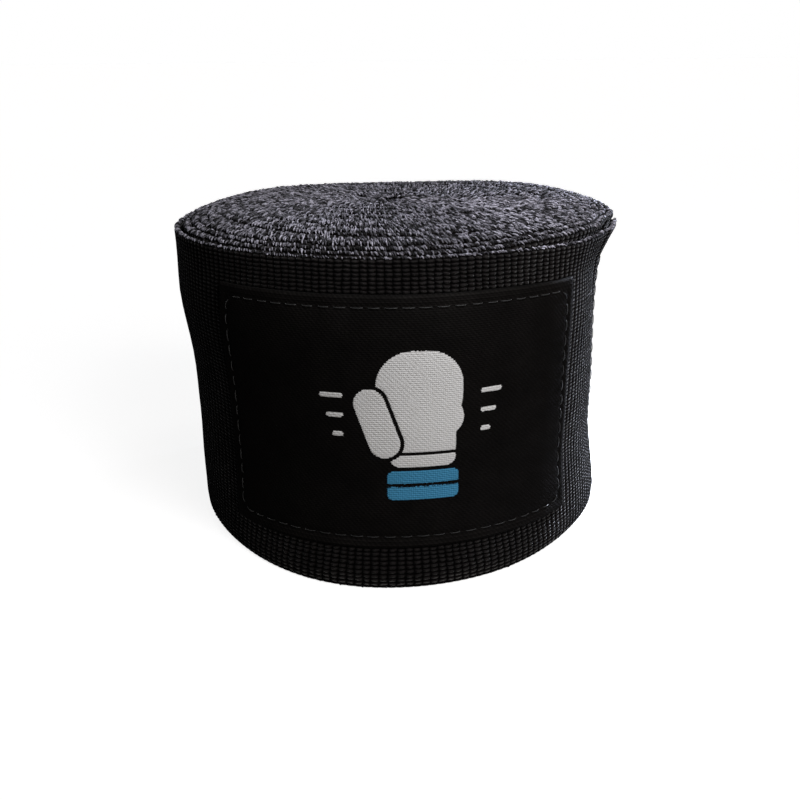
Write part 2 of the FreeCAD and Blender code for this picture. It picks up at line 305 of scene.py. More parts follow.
def place(bearing, radius, height):
    """The frame's points of roll coordinates, with the cloth's slack, as an array of (..., 3)."""
    bearing, radius, height = np.broadcast_arrays(bearing, radius, height)
    bearing = bearing.astype(float)
    angle = np.radians(bearing)
    out = radius + lean(bearing, radius, height)
    core = CORE_SQUEEZE * np.exp(-radius / CORE_DEPTH)
    x = AXIS[0] + out * (1 + core) * np.sin(angle)
    y = AXIS[1] - out * (1 - core) * np.cos(angle)
    return np.stack([x, y, height + rise(bearing, radius, height)], axis=-1)


# -------- the strap's path

def strap_radius(bearing, packed=False):
    """The radius of the strap's inner face. Bearings below the flap's root count back the turns.

    Going inwards, one half turn keeps its radius and the next closes in by a whole pitch, as a
    spiral of half circles does. Packed leaves out the room that the thumb loop needs at the core.
    """
    back = np.clip((PEEL_AT - np.asarray(bearing, float)) / 180, 0, PACKED_HALF_TURNS)
    half = np.floor(back)
    moving = half % 2 == 0
    swing = np.where(moving, 0.5 - 0.5 * np.cos(np.pi * (back - half)), 0)
    closed = np.ceil(half / 2) + swing
    plain_turns = (HALF_TURNS - PADDED_HALF_TURNS - 1) / 2
    plain = np.clip(closed - 1, 0, None if packed else plain_turns)
    padded = np.clip(closed - 1 - plain, 0, None)
    first = (FLAP_INSIDE - ROLL_INSIDE) * np.clip(closed, 0, 1)
    return FLAP_INSIDE - first - TURN_PITCH * plain - PADDED_PITCH * padded


def walked_length(bearings, packed=False):
    """The length of strap from the first of some close bearings to each of them."""
    middle = strap_radius(bearings, packed) + STRAP_THICKNESS / 2
    pieces = np.radians(np.diff(bearings)) * (middle[1:] + middle[:-1]) / 2
    return np.concatenate([[0], np.cumsum(pieces)])


def even_steps(start, end, pitch, per_pitch, packed=False):
    """Bearings from start to end at even steps of cloth, in a whole number of pitches."""
    fine = np.linspace(start, end, int(abs(end - start)) + 2)
    length = walked_length(fine, packed)
    pitches = max(1, round(length[-1] / pitch))
    steps = np.linspace(0, length[-1], pitches * per_pitch + 1)
    return np.interp(steps, length, fine)


# -------- making meshes

def stand(name, data):
    """A new object in the scene, with that data."""
    made = bpy.data.objects.new(name, data)
    bpy.context.scene.collection.objects.link(made)
    return made


def new_piece(name, points, faces, material, fields=None):
    """A smooth mesh object. fields are named values per point, one number or three each."""
    mesh = bpy.data.meshes.new(name)
    mesh.from_pydata(points.reshape(-1, 3).tolist(), [], faces)
    mesh.shade_smooth()
    for field, values in (fields or {}).items():
        wide = values.ndim > 1
        layer = mesh.attributes.new(field, "FLOAT_VECTOR" if wide else "FLOAT", "POINT")
        layer.data.foreach_set("vector" if wide else "value", values.ravel())
    mesh.materials.append(material)
    return stand(name, mesh)


def ring_faces(rings, sides):
    """Quads between rings of points, each ring closed and joined to the next."""
    here = (np.arange(rings - 1)[:, None] * sides + np.arange(sides)).ravel()
    over = (np.arange(rings - 1)[:, None] * sides + (np.arange(sides) + 1) % sides).ravel()
    return np.stack([here, here + sides, over + sides, over], axis=-1)


def skin(name, rings, material, fields=None):
    """A closed piece through rings of points (stations, round, 3), flat across its two ends."""
    stations, sides = rings.shape[:2]
    first = list(range(sides))
    last = [(stations - 1) * sides + side for side in reversed(range(sides))]
    faces = ring_faces(stations, sides).tolist() + [first, last]
    piece = new_piece(name, rings, faces, material, fields)
    for end in piece.data.polygons[-2:]:
        end.use_smooth = False
    return piece


def rounded(share):
    """The height of a rounded edge, from 0 at its brink to 1 at a share of 1 and beyond."""
    return np.sqrt(1 - (1 - np.clip(share, 0, 1)) ** 2)


def front_and_back(across, tall, skip):
    """Places (along, up) round a patch, front rows then some back rows, and which are front."""
    heights = np.concatenate([tall, tall[-2:0:-skip]])
    u, v = np.meshgrid(across, heights, indexing="ij")
    return u, v, (np.arange(len(heights)) < len(tall))[None, :]


def unit(vectors):
    """Vectors scaled to length 1."""
    return vectors / np.maximum(np.linalg.norm(vectors, axis=-1, keepdims=True), 1e-12)


def threads(name, paths, radii, sides, material, tones=None):
    """Round threads along arched paths (count, steps, 3), all in one mesh. A tone per thread."""
    count, steps = paths.shape[:2]
    along = unit(np.gradient(paths, axis=1))
    chord = paths[:, -1] - paths[:, 0]
    bulge = paths[:, steps // 2] - (paths[:, -1] + paths[:, 0]) / 2
    square = unit(np.cross(chord, bulge))[:, None, :]
    side = unit(square - along * np.sum(square * along, axis=-1, keepdims=True))
    up = np.cross(side, along)
    turn = (2 * np.pi * np.arange(sides) / sides)[:, None]
    ring = np.cos(turn) * side[:, :, None, :] + np.sin(turn) * up[:, :, None, :]
    points = paths[:, :, None, :] + np.broadcast_to(radii, (count, steps))[:, :, None, None] * ring
    offsets = (np.arange(count) * steps * sides)[:, None, None]
    walls = (ring_faces(steps, sides)[None] + offsets).reshape(-1, 4)
    start = np.arange(sides)
    ends = np.stack([start, (steps - 1) * sides + start[::-1]])
    caps = (ends[None] + offsets).reshape(-1, sides)
    fields = {} if tones is None else {"tone": np.repeat(tones, steps * sides)}
    return new_piece(name, points, walls.tolist() + caps.tolist(), material, fields)


# -------- materials

# Sockets of a Mix node that mixes colours.
MIX_SHARE, MIX_LOW, MIX_HIGH, MIX_RESULT = 0, 6, 7, 2


def add(tree, kind, inputs=None, **settings):
    """A shader node with its settings and inputs; an input is a value or another node's output."""
    made = tree.nodes.new("ShaderNode" + kind)
    for setting, value in settings.items():
        setattr(made, setting, value)
    for socket, value in (inputs or {}).items():
        if isinstance(value, bpy.types.NodeSocket):
            tree.links.new(value, made.inputs[socket])
        else:
            made.inputs[socket].default_value = value
    return made


def calculate(operation, first, second=0.0, third=0.0):
    """The output of a Math node. The first value is another node's output, in the same tree."""
    inputs = {0: first, 1: second, 2: third}
    return add(first.id_data, "Math", inputs, operation=operation).outputs[0]


def times(first, second):
    """Two values multiplied."""
    return calculate("MULTIPLY", first, second)


def scaled(value, factor, offset):
    """A value times a factor, plus an offset."""
    return calculate("MULTIPLY_ADD", value, factor, offset)


def hump(value):
    """A smooth hump, from 0 to 1 and back, over each whole number."""
    return calculate("SINE", times(calculate("FRACT", value), math.pi))


def zigzag(value):
    """A straight rise from 0 to 0.5 and fall back, over each whole number."""
    return calculate("PINGPONG", value, 0.5)


def blended(share, low, high):
    """A colour between two: low at share 0, high at share 1."""
    inputs = {MIX_SHARE: share, MIX_LOW: low, MIX_HIGH: high}
    return add(share.id_data, "Mix", inputs, data_type="RGBA").outputs[MIX_RESULT]


def grey(level, red=1.0, green=1.0, blue=1.0):
    """A linear colour near a grey level."""
    return (level * red, level * green, level * blue, 1.0)


def noise(tree, scale, detail=3.0):
    """Fine or broad cloudiness from 0 to 1, by place on the object."""
    place_at = add(tree, "TexCoord").outputs["Object"]
    return add(tree, "TexNoise", {"Vector": place_at, "Scale": scale, "Detail": detail}).outputs[0]


def field(tree, name):
    """A value that the mesh carries at each point."""
    return add(tree, "Attribute", attribute_name=name).outputs["Fac"]


def weave_place(tree):
    """Where a point lies in the weave: the three values of the mesh's weave field."""
    weave = add(tree, "Attribute", attribute_name="weave").outputs["Vector"]
    return add(tree, "SeparateXYZ", {0: weave}).outputs


def new_material(name, roughness, sheen=0.0, sheen_roughness=0.5, specular=0.3):
    """A new material, with its node tree."""
    material = bpy.data.materials.new(name)
    material.use_nodes = True
    shader = material.node_tree.nodes["Principled BSDF"]
    shader.inputs["Roughness"].default_value = roughness
    shader.inputs["Sheen Weight"].default_value = sheen
    shader.inputs["Sheen Roughness"].default_value = sheen_roughness
    shader.inputs["Specular IOR Level"].default_value = specular
    return material, material.node_tree


def finish_material(material, colour, relief, depth):
    """Join a colour and a relief, in metres of depth, to a material's main shader."""
    tree = material.node_tree
    shader = tree.nodes["Principled BSDF"]
    tree.links.new(colour, shader.inputs["Base Color"])
    bump = add(tree, "Bump", {"Strength": 1.0, "Distance": depth, "Height": relief})
    tree.links.new(bump.outputs[0], shader.inputs["Normal"])
    return material


def strap_material():
    """Black elastic cotton weave: ribs across the strap, each a row of small knobs, with painted shade in
    the grooves between them.
    """
    material, tree = new_material("strap_weave", 0.9, sheen_roughness=0.35, specular=0.02)
    weave = weave_place(tree)
    drift = calculate("SUBTRACT", noise(tree, 700.0, 2.0), 0.5)
    ribs = scaled(drift, 0.4, weave[0])
    knobs = scaled(drift, 0.6, weave[1])
    crest = hump(ribs)
    knob = hump(knobs)
    narrow = calculate("POWER", knob, 1.2)
    broad = calculate("POWER", crest, 0.5)
    cell = times(broad, scaled(narrow, 0.95, 0.05))
    fibre = noise(tree, 5200.0, 4.0)
    relief = scaled(fibre, 0.3, cell)
    # Painted shade: the colour is darker in the grooves between the knobs and ribs and lighter on their
    # crests, with broad fading and fibre tone over it. The sheen follows it, on the crests only.
    fade_and_groove_shade = calculate("POWER", cell, 1.6)
    fade_and_groove_shade = times(fade_and_groove_shade, scaled(noise(tree, 140.0), 0.9, 0.35))
    fade_and_groove_shade = times(fade_and_groove_shade, scaled(fibre, 1.6, 0.2))
    colour = blended(fade_and_groove_shade, grey(0.0006, 1.4, 0.95, 0.8), grey(0.024, 1.08, 0.95, 0.96))
    tree.links.new(times(fade_and_groove_shade, 0.32), tree.nodes["Principled BSDF"].inputs["Sheen Weight"])
    return finish_material(material, colour, relief, 0.5 * MM)


def selvedge_material():
    """The strap's edge yarns: greyer, twisted, each a little lighter or darker than the next."""
    material, tree = new_material("selvedge_yarn", 0.8, sheen=0.06, sheen_roughness=0.4, specular=0.2)
    twist = noise(tree, 2600.0, 3.0)
    patch = noise(tree, 90.0, 2.0)
    shade = times(field(tree, "tone"), scaled(twist, 3.2, -0.8))
    shade = times(shade, scaled(patch, 0.8, 0.6))
    shade = calculate("MINIMUM", calculate("MAXIMUM", shade, 0.0), 1.0)
    colour = blended(shade, grey(0.004, 1.0, 0.95, 1.0), grey(0.56, 0.97, 0.94, 1.1))
    return finish_material(material, colour, twist, 0.15 * MM)


def label_material():
    """Black satin label: fine slanted weave, with white and blue yarn brought up in the badge."""
    material, tree = new_material("label_weave", 0.7, sheen=0.01, sheen_roughness=0.3, specular=0.03)
    weave = weave_place(tree)
    along, up = weave[0], weave[1]
    slant = scaled(along, 1.3, times(up, 1.3))
    twill = zigzag(slant)
    weft = zigzag(times(up, 3.2))
    warp = zigzag(times(along, 3.6))
    jag = scaled(weft, 0.28, times(noise(tree, 2500.0), 0.16))
    white = calculate("LESS_THAN", calculate("ADD", field(tree, "white_yarn"), jag), 0.15)
    blue = calculate("LESS_THAN", calculate("ADD", field(tree, "blue_yarn"), jag), 0.15)
    fibre = noise(tree, 4200.0, 4.0)
    cloudy = noise(tree, 220.0, 3.0)
    lines = zigzag(times(up, 1.6))
    border = calculate("LESS_THAN", weave[2], LABEL_SEAM_INSET / MM)
    lined = times(border, scaled(lines, 3.0, -0.6))
    lit = times(scaled(twill, 0.7, 0.35), fibre)
    lit = times(lit, scaled(cloudy, 1.6, 0.3))
    lit = scaled(lit, calculate("MAXIMUM", lined, 0.0), lit)
    ground = blended(lit, grey(0.0012, 1.15, 1.0, 0.92), grey(0.013, 1.12, 1.0, 0.94))
    stripe = scaled(weft, 1.2, times(warp, 0.8))
    pale = blended(stripe, grey(0.55, 1.0, 1.0, 0.97), grey(0.95))
    sky = blended(stripe, (0.02, 0.13, 0.25, 1.0), (0.10, 0.40, 0.66, 1.0))
    colour = blended(blue, blended(white, ground, pale), sky)
    yarn = calculate("MAXIMUM", white, blue)
    surface = scaled(yarn, 0.5, scaled(twill, 0.7, weft))
    relief = scaled(fibre, 0.6, surface)
    return finish_material(material, colour, relief, 0.07 * MM)


def mottled_material(material, tree, grain, patches, dark, light, depth):
    """Fine grain in broad patches; grain and patches are a scale and a detail of noise."""
    fine = noise(tree, *grain)
    shade = times(fine, noise(tree, *patches))
    return finish_material(material, blended(shade, dark, light), fine, depth)


def thread_material():
    """Black sewing thread, with its twist."""
    made = new_material("sewing_thread", 0.5, sheen=0.2, specular=0.5)
    light = grey(0.035, 1.0, 1.0, 1.03)
    return mottled_material(*made, (6500.0, 3.0), (300.0, 2.0), grey(0.003), light, 0.05 * MM)


def pile_material():
    """Black brushed loop tape."""
    made = new_material("loop_pile", 0.9, sheen=0.3, sheen_roughness=0.5)
    return mottled_material(*made, (2600.0, 4.0), (160.0, 2.0), grey(0.008), grey(0.07), 0.12 * MM)


def hook_material():
    """Black nylon hook tape, slightly shiny."""
    material, tree = new_material("hook_tape", 0.38, specular=0.5)
    grain = noise(tree, 1800.0, 3.0)
    colour = blended(grain, grey(0.008), grey(0.035))
    return finish_material(material, colour, grain, 0.04 * MM)


def tape_material():
    """Black cotton tape of the thumb loop: fine ribs across it."""
    material, tree = new_material("thumb_tape", 0.85, sheen=0.15, sheen_roughness=0.4)
    position = add(tree, "SeparateXYZ", {0: add(tree, "TexCoord").outputs["Object"]})
    ribs = zigzag(times(position.outputs[2], 1600.0))
    fibre = noise(tree, 4800.0, 3.0)
    relief = scaled(fibre, 0.4, ribs)
    colour = blended(relief, grey(0.006), grey(0.03))
    return finish_material(material, colour, relief, 0.12 * MM)


def floor_material():
    """A pale studio floor, which throws little light back at the roll."""
    material = bpy.data.materials.new("studio_floor")
    material.use_nodes = True
    tree = material.node_tree
    tree.nodes.clear()
    pale = blended(noise(tree, 3.0), grey(0.56), grey(0.60))
    seen = add(tree, "BsdfDiffuse", {"Color": pale}).outputs[0]
    glow = add(tree, "Emission", {"Color": grey(1.0), "Strength": 0.86}).outputs[0]
    bright = add(tree, "AddShader", {0: seen, 1: glow}).outputs[0]
    dark = add(tree, "BsdfDiffuse", {"Color": grey(0.2)}).outputs[0]
    camera_ray = add(tree, "LightPath").outputs["Is Camera Ray"]
    either = add(tree, "MixShader", {0: camera_ray, 1: dark, 2: bright}).outputs[0]
    add(tree, "OutputMaterial", {"Surface": either})
    return material


STRAP_FINISH = strap_material()
SELVEDGE_FINISH = selvedge_material()
LABEL_FINISH = label_material()
THREAD_FINISH = thread_material()
HOOK_FINISH = hook_material()
PILE_FINISH = pile_material()
TAPE_FINISH = tape_material()
FLOOR_FINISH = floor_material()


# -------- the strap

RIB_PITCH = 1.2 * MM
RIB_HEIGHT = 0.12 * MM
RIB_STEPS = 6
RIB_ROUNDNESS = 0.7
RIB_WANDER = 0.22
RIB_WAVES = (23, 11.3, 37)
RIB_SLANT = 700
EDGE_STRAIGHTNESS = 8
KNOB_PITCH = 0.6 * MM
EDGE_ROUND = 0.45 * MM
COARSE_STEP = 8
FOLD_STEPS = 9
PEEL_ZONE = (PEEL_AT - 6, PEEL_AT + 6)
CURL_ZONE = (CURL_AT - 2, CURL_AT + 10)
LIFT_ZONE = (LIFT_AT - 5, LIFT_AT + 5)
FLAP_CUTS = (PEEL_AT - 13, (PEEL_AT + CURL_AT) / 2, (CURL_AT + LIFT_AT) / 2, TAB_END)
FINE_FROM = FLAP_CUTS[0] - 375
EDGE_ROWS = np.array([0, 0.12, 0.45]) * MM
FIRST_FACE_ROW = 2.2 * MM
FACE_ROWS = np.linspace(FIRST_FACE_ROW, STRAP_WIDTH - FIRST_FACE_ROW, 18)
HEIGHTS = np.concatenate([EDGE_ROWS, FACE_ROWS, STRAP_WIDTH - EDGE_ROWS[::-1]])


def strap_band(name, bearings, middles, ribs, ribbed, normals=None):
    """A length of strap: bearings and radii along its middle, ribs counted along it.

    ribbed is 1 where the ribs are shaped and 0 where the cloth is left plain. normals are the
    outward directions (along, out), where the strap doubles back.
    """
    if normals is None:
        normals = np.stack([np.zeros_like(middles), np.ones_like(middles)], axis=-1)
    heights = np.concatenate([HEIGHTS, HEIGHTS[-2:0:-2]])
    slanted = bearings[:, None] + RIB_SLANT * heights[None, :]
    wander = RIB_WANDER * ripple(slanted, RIB_WAVES, SEED + 13)
    wander = wander * (1 - np.abs(2 * heights / STRAP_WIDTH - 1) ** EDGE_STRAIGHTNESS)
    across_ribs = ribs[:, None] + wander
    crest = np.abs(np.sin(np.pi * across_ribs)) ** RIB_ROUNDNESS
    outer = STRAP_THICKNESS / 2 - RIB_HEIGHT * ribbed[:, None] * (1 - crest)
    inner = np.full_like(outer, -STRAP_THICKNESS / 2)
    rounding = rounded(np.minimum(heights, STRAP_WIDTH - heights) / EDGE_ROUND)
    faces_out = np.arange(len(heights)) < len(HEIGHTS)
    offset = np.where(faces_out[None, :], outer, inner) * rounding[None, :]
    radius = middles[:, None] + offset * normals[:, 1:]
    shift = np.degrees(offset * normals[:, :1] / radius)
    points = place(bearings[:, None] + shift, radius, heights[None, :])
    weave = np.zeros((len(bearings), len(heights), 3))
    weave[..., 0] = across_ribs
    weave[..., 1] = heights[None, :] / KNOB_PITCH
    piece = skin(name, points, STRAP_FINISH, {"weave": weave.reshape(-1, 3)})
    return piece


# The yarns along the strap's edges. Each range is of random factors, or of shares of a pitch.
LOOP_PITCH = 1.05 * MM
TOP_YARNS = 4
FOOT_YARNS = 1
EDGE_SPREAD = 0.4 * STRAP_THICKNESS
MIDDLE_SPREAD = TURN_PITCH / 2
CLOSE_SPREAD = 0.65 * TURN_PITCH
STRAND_SLANT = 0.42 * MM
STRAND_LIFT = 0.23 * MM
STRAND_SINK = 0.11 * MM
STRAND_STEPS = np.linspace(0, 1, 5)
STRAND_RADII = np.array([0.07, 0.1, 0.115, 0.1, 0.07]) * MM
YARN_SIDES = 3
TOP_INSET = 0.05 * MM
FOOT_INSET = 0.25 * MM
SLANT_RANGE = (0.5, 1.4)
LIFT_RANGE = (0.3, 1.7)
ACROSS_RANGE = (0.4, 0.95)
SIDEWAYS_RANGE = (-0.5, 0.5)
STRAY_RANGE = (-0.12, 0.12)
THICKNESS_RANGE = (0.8, 1.2)
TONE_SPREAD = (0.4, 0.62)

# The yarns are made in groups of turns, which end this many turns in from the flap's root.
GROUP_TURNS = (2, 6, 14)


def selvedge(name, bearings, middles, top, spread, seed):
    """Slanted yarns that lap over an edge of the strap, one at each bearing given."""
    random = np.random.default_rng(seed)
    count = len(bearings)
    share = STRAND_STEPS[None, :]
    slant = STRAND_SLANT * random.uniform(*SLANT_RANGE, (count, 1))
    lift = STRAND_LIFT * random.uniform(*LIFT_RANGE, (count, 1)) * np.sin(np.pi * share)
    across = spread * random.uniform(*ACROSS_RANGE, (count, 1)) * np.cos(np.pi * share)
    radius = middles[:, None] + across + spread * random.uniform(*SIDEWAYS_RANGE, (count, 1))
    stray = random.uniform(*STRAY_RANGE, (count, 1)) * LOOP_PITCH
    along = np.degrees((stray + slant * (0.5 - share)) / middles[:, None])
    reach = lift - STRAND_SINK
    height = STRAP_WIDTH - TOP_INSET + reach if top else FOOT_INSET - reach
    paths = place(bearings[:, None] + along, radius, height)
    tones = random.beta(*TONE_SPREAD, count)
    thickness = STRAND_RADII * random.uniform(*THICKNESS_RANGE, (count, 1))
    piece = threads(name, paths, thickness, YARN_SIDES, SELVEDGE_FINISH, tones)
    return piece


def join_strap(piece, joint_bodies, zone):
    """Let a piece ride on one body; given a zone of bearings, fix it in place on no body."""
    if zone is None:
        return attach(piece, joint_bodies)
    start, end = (place(bearing, FLAP_OUTSIDE, STRAP_WIDTH / 2) for bearing in zone)
    start[2] = end[2] = STRAP_WIDTH / 2
    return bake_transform(piece)


def strap_edges(name, start, end, seed, bodies, zone, packed=False, spread=EDGE_SPREAD):
    """The yarns along the top and the foot of a length of strap."""
    pieces = []
    for edge, per_pitch in (("top", TOP_YARNS), ("foot", FOOT_YARNS)):
        bearings = even_steps(start, end, LOOP_PITCH, 2 * per_pitch, packed)[1::2]
        middles = strap_radius(bearings, packed) + STRAP_THICKNESS / 2
        piece = selvedge(f"selvedge_{edge}_{name}", bearings, middles, edge == "top", spread, seed)
        pieces.append(join_strap(piece, bodies, zone))
    return pieces


def rolled_strap():
    """All of the strap up to the root of the flap, wound on itself."""
    core = PEEL_AT - 180 * HALF_TURNS
    coarse = np.arange(core, FINE_FROM - COARSE_STEP / 2, COARSE_STEP)
    fine = even_steps(FINE_FROM, FLAP_CUTS[0], RIB_PITCH, RIB_STEPS)
    bearings = np.concatenate([coarse, fine])
    before_fine = np.abs(walked_length(np.append(coarse, FINE_FROM)[::-1])[::-1]) / RIB_PITCH
    fine_ribs = np.arange(len(fine)) / RIB_STEPS
    ribs = np.concatenate([-before_fine[:-1], fine_ribs]) + math.floor(before_fine.max())
    ribbed = np.concatenate([np.zeros(len(coarse)), np.ones(len(fine))])
    middles = strap_radius(bearings) + STRAP_THICKNESS / 2
    piece = strap_band("strap_roll_weave", bearings, middles, ribs, ribbed)
    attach(piece, "roll")
    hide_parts("strap_roll")
    middle, inner, innermost = (FLAP_CUTS[0] - 360 * turns for turns in GROUP_TURNS)
    last = PEEL_AT - 180 * PACKED_HALF_TURNS
    edges = strap_edges("outer_turns", middle, FLAP_CUTS[0], SEED + 2, "roll", None)
    edges += strap_edges("middle_turns", inner, middle, SEED + 7, "roll", None, spread=MIDDLE_SPREAD)
    edges += strap_edges("inner_turns", innermost, inner, SEED + 3, "roll", None, True, CLOSE_SPREAD)
    edges += strap_edges("core_turns", last, innermost, SEED + 8, "roll", None, True, CLOSE_SPREAD)


def flap_span(name, span, joint_bodies, zone, node, seed):
    """A length of the flap, from one of its cuts to the next."""
    start, end = FLAP_CUTS[span], FLAP_CUTS[span + 1]
    bearings = even_steps(start, end, RIB_PITCH, RIB_STEPS)
    ribs = np.arange(len(bearings)) / RIB_STEPS
    middles = strap_radius(bearings) + STRAP_THICKNESS / 2
    piece = strap_band(f"strap_{name}", bearings, middles, ribs, np.ones(len(bearings)))
    join_strap(piece, joint_bodies, zone)
    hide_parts(node)
    edges = strap_edges(name, start, end, seed, joint_bodies, zone)


def flap_end():
    """The last length of the flap, with its end folded back inside it as a hem."""
    start = FLAP_CUTS[2]
    outer_middle = FLAP_INSIDE + STRAP_THICKNESS / 2
    fold = HEM_ROOM / 2
    run = even_steps(start, TAB_END - math.degrees(fold / outer_middle), RIB_PITCH, RIB_STEPS)
    run_ribs = np.arange(len(run)) / RIB_STEPS
    turn = np.linspace(0, np.pi, FOLD_STEPS)[1:-1]
    fold_radius = outer_middle - fold
    turn_bearings = run[-1] + np.degrees(fold * np.sin(turn) / fold_radius)
    turn_middles = fold_radius + fold * np.cos(turn)
    turn_ribs = run_ribs[-1] + turn / np.pi
    back_steps = np.arange(round(HEM_LENGTH / RIB_PITCH) * RIB_STEPS + 1)
    back = run[-1] - np.degrees(back_steps * RIB_PITCH / RIB_STEPS / outer_middle)
    back_middles = np.full(len(back), outer_middle - HEM_ROOM)
    back_ribs = run_ribs[-1] + 1 + back_steps / RIB_STEPS
    bearings = np.concatenate([run, turn_bearings, back])
    middles = np.concatenate([np.full(len(run), outer_middle), turn_middles, back_middles])
    ribs = np.concatenate([run_ribs, turn_ribs, back_ribs])
    along = np.concatenate([np.zeros(len(run)), np.sin(turn), np.zeros(len(back))])
    out = np.concatenate([np.ones(len(run)), np.cos(turn), -np.ones(len(back))])
    normals = np.stack([along, out], axis=-1)
    piece = strap_band("strap_flap_end", bearings, middles, ribs, np.ones(len(bearings)), normals)
    bodies, zone = ("flap_outer", "pull_tab"), LIFT_ZONE
    join_strap(piece, bodies, zone)
    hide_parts("strap_pull_tab", "tab_hem")
    edges = strap_edges("flap_end", start, TAB_END, SEED + 6, bodies, zone)


rolled_strap()
flap_span("flap_root", 0, ("roll", "flap_inner"), PEEL_ZONE, "strap_flap_inner", SEED + 4)
flap_span("flap_middle", 1, ("flap_inner", "flap_outer"), CURL_ZONE, "strap_flap_outer", SEED + 5)
flap_end()


# -------- sewn lines

THREAD_RADIUS = 0.065 * MM
THREAD_SIDES = 6
STITCH_PITCH = 2.5 * MM
STITCH_STEPS = np.linspace(0, 1, 9)
STITCH_ARCH = 0.45
STITCH_STRAY = 0.08 * MM
FIRST_STITCH = 0.15
DASH_RANGE = (0.88, 1.08)
CORNER_STEPS = 13


def rounded_border(start, end, low, high, radius, inset, corner):
    """A rounded rectangle sewn inside the edges of a patch, as close (bearing, height) points."""
    turn = math.degrees(1 / radius)
    left, right = start + inset * turn, end - inset * turn
    foot, top = low + inset, high - inset
    points = []
    corners = ((right, foot, -90), (right, top, 0), (left, top, 90), (left, foot, 180))
    for bearing, height, first in corners:
        inward = -1 if bearing == right else 1
        upward = 1 if height == foot else -1
        centre_bearing = bearing + inward * corner * turn
        centre_height = height + upward * corner
        for angle in np.radians(np.linspace(first, first + 90, CORNER_STEPS)):
            round_bearing = centre_bearing + corner * turn * math.cos(angle)
            points.append((round_bearing, centre_height + corner * math.sin(angle)))
    points.append(points[0])
    return np.array(points)


def stitches(name, route, radius, dash, lift, seed):
    """Running stitches along a route of (bearing, height) points on a face of that radius."""
    random = np.random.default_rng(seed)
    flat = np.stack([np.radians(route[:, 0]) * radius, route[:, 1]], axis=-1)
    length = np.concatenate([[0], np.cumsum(np.linalg.norm(np.diff(flat, axis=0), axis=-1))])
    count = round(length[-1] / STITCH_PITCH)
    stray = random.uniform(-1, 1, count) * STITCH_STRAY
    starts = (np.arange(count) + FIRST_STITCH) * length[-1] / count + stray
    sizes = dash * random.uniform(*DASH_RANGE, count)
    at = starts[:, None] + sizes[:, None] * STITCH_STEPS[None, :]
    bearing = np.interp(at, length, route[:, 0])
    height = np.interp(at, length, route[:, 1])
    arch = np.sin(np.pi * STITCH_STEPS) ** STITCH_ARCH
    above = (arch * (lift + THREAD_RADIUS) - THREAD_RADIUS)[None, :]
    paths = place(bearing, radius + above, height)
    piece = threads(name, paths, THREAD_RADIUS, THREAD_SIDES, THREAD_FINISH)
    return piece


# -------- the label

LABEL_STEP = 0.3 * MM
LABEL_BACK_STEP = 6
LABEL_MIDDLE = (LABEL_START + LABEL_END) / 2
LABEL_CENTRE = (LABEL_LOW + LABEL_HIGH) / 2
LABEL_TURN = math.degrees(1 / LABEL_OUTSIDE)
LABEL_AREA = (LABEL_START, LABEL_END, LABEL_LOW, LABEL_HIGH)
LABEL_CORNER = 2.2 * MM
LABEL_EDGE_ROUND = 0.5 * MM
LABEL_THIN_EDGE = 0.25
LABEL_STITCH = 1.75 * MM
LABEL_STITCH_LIFT = 0.16 * MM
LABEL_STITCH_SINK = 0.1 * MM
FURROW_WIDTH = 0.45 * MM
FURROW_DEPTH = 0.12 * MM
PUCKER = 0.05 * MM
PUCKER_WAVES = (5 * MM, 7.7 * MM, 12 * MM)
PUCKER_REACH = 4 * MM
BADGE_RELIEF = 0.06 * MM
BADGE_RIGHTWARDS = 1.0
BADGE_LINE = 0.25
THUMB_GAP = 0.6
BAR_ROWS = ((4.8, 2.8), (1.8, 1.9), (-1.2, 1.0))
BAR_START = 10.6
BAR_RIGHTWARDS = 0.4
BAR_SIZE = 0.36
FLAP_BODIES = ("flap_inner", "flap_outer")


def bar(u, v, start, end, size):
    """Millimetres outside a bar with round ends between two points; less than 0 within it."""
    du, dv = end[0] - start[0], end[1] - start[1]
    share = np.clip(((u - start[0]) * du + (v - start[1]) * dv) / (du * du + dv * dv), 0, 1)
    return np.hypot(u - start[0] - share * du, v - start[1] - share * dv) - size


def block(u, v, middle, half, corner):
    """Distance outside an upright block with rounded corners."""
    du = np.abs(u - middle[0]) - half[0] + corner
    dv = np.abs(v - middle[1]) - half[1] + corner
    return np.hypot(np.clip(du, 0, None), np.clip(dv, 0, None)) + np.minimum(np.maximum(du, dv), 0) - corner


def badge(u, v):
    """A plain boxing glove in white yarn with a blue cuff, and short bars either side of it.

    u and v are millimetres along and up from the middle of the badge. The two results are the
    distances outside the white and the blue yarn.
    """
    fist = block(u, v, (1.4, 5.4), (6.4, 6.2), 5.4)
    heel = block(u, v, (1.9, -2.4), (4.9, 4.0), 1.4)
    knuckle = np.hypot(u - 5.1, v - 1.2) - 2.9
    thumb = bar(u, v, (-3.8, -2.6), (-6.0, 3.6), 2.3)
    seam = np.abs(v + 4.3) - BADGE_LINE
    hand = np.minimum(np.minimum(fist, heel), knuckle)
    hand = np.maximum(hand, -seam)
    hand = np.minimum(np.maximum(hand, THUMB_GAP - thumb), thumb)
    cuff = block(u, v, (1.9, -9.4), (5.4, 2.3), 0.8)
    lace = np.abs(v + 9.4) - BADGE_LINE
    bars = []
    for side in (-1, 1):
        near = BAR_START * side + BAR_RIGHTWARDS
        for level, reach in BAR_ROWS:
            bars.append(bar(u, v, (near, level), (near + reach * side, level), BAR_SIZE))
    return np.minimum.reduce([hand, *bars]), np.maximum(cuff, -lace)


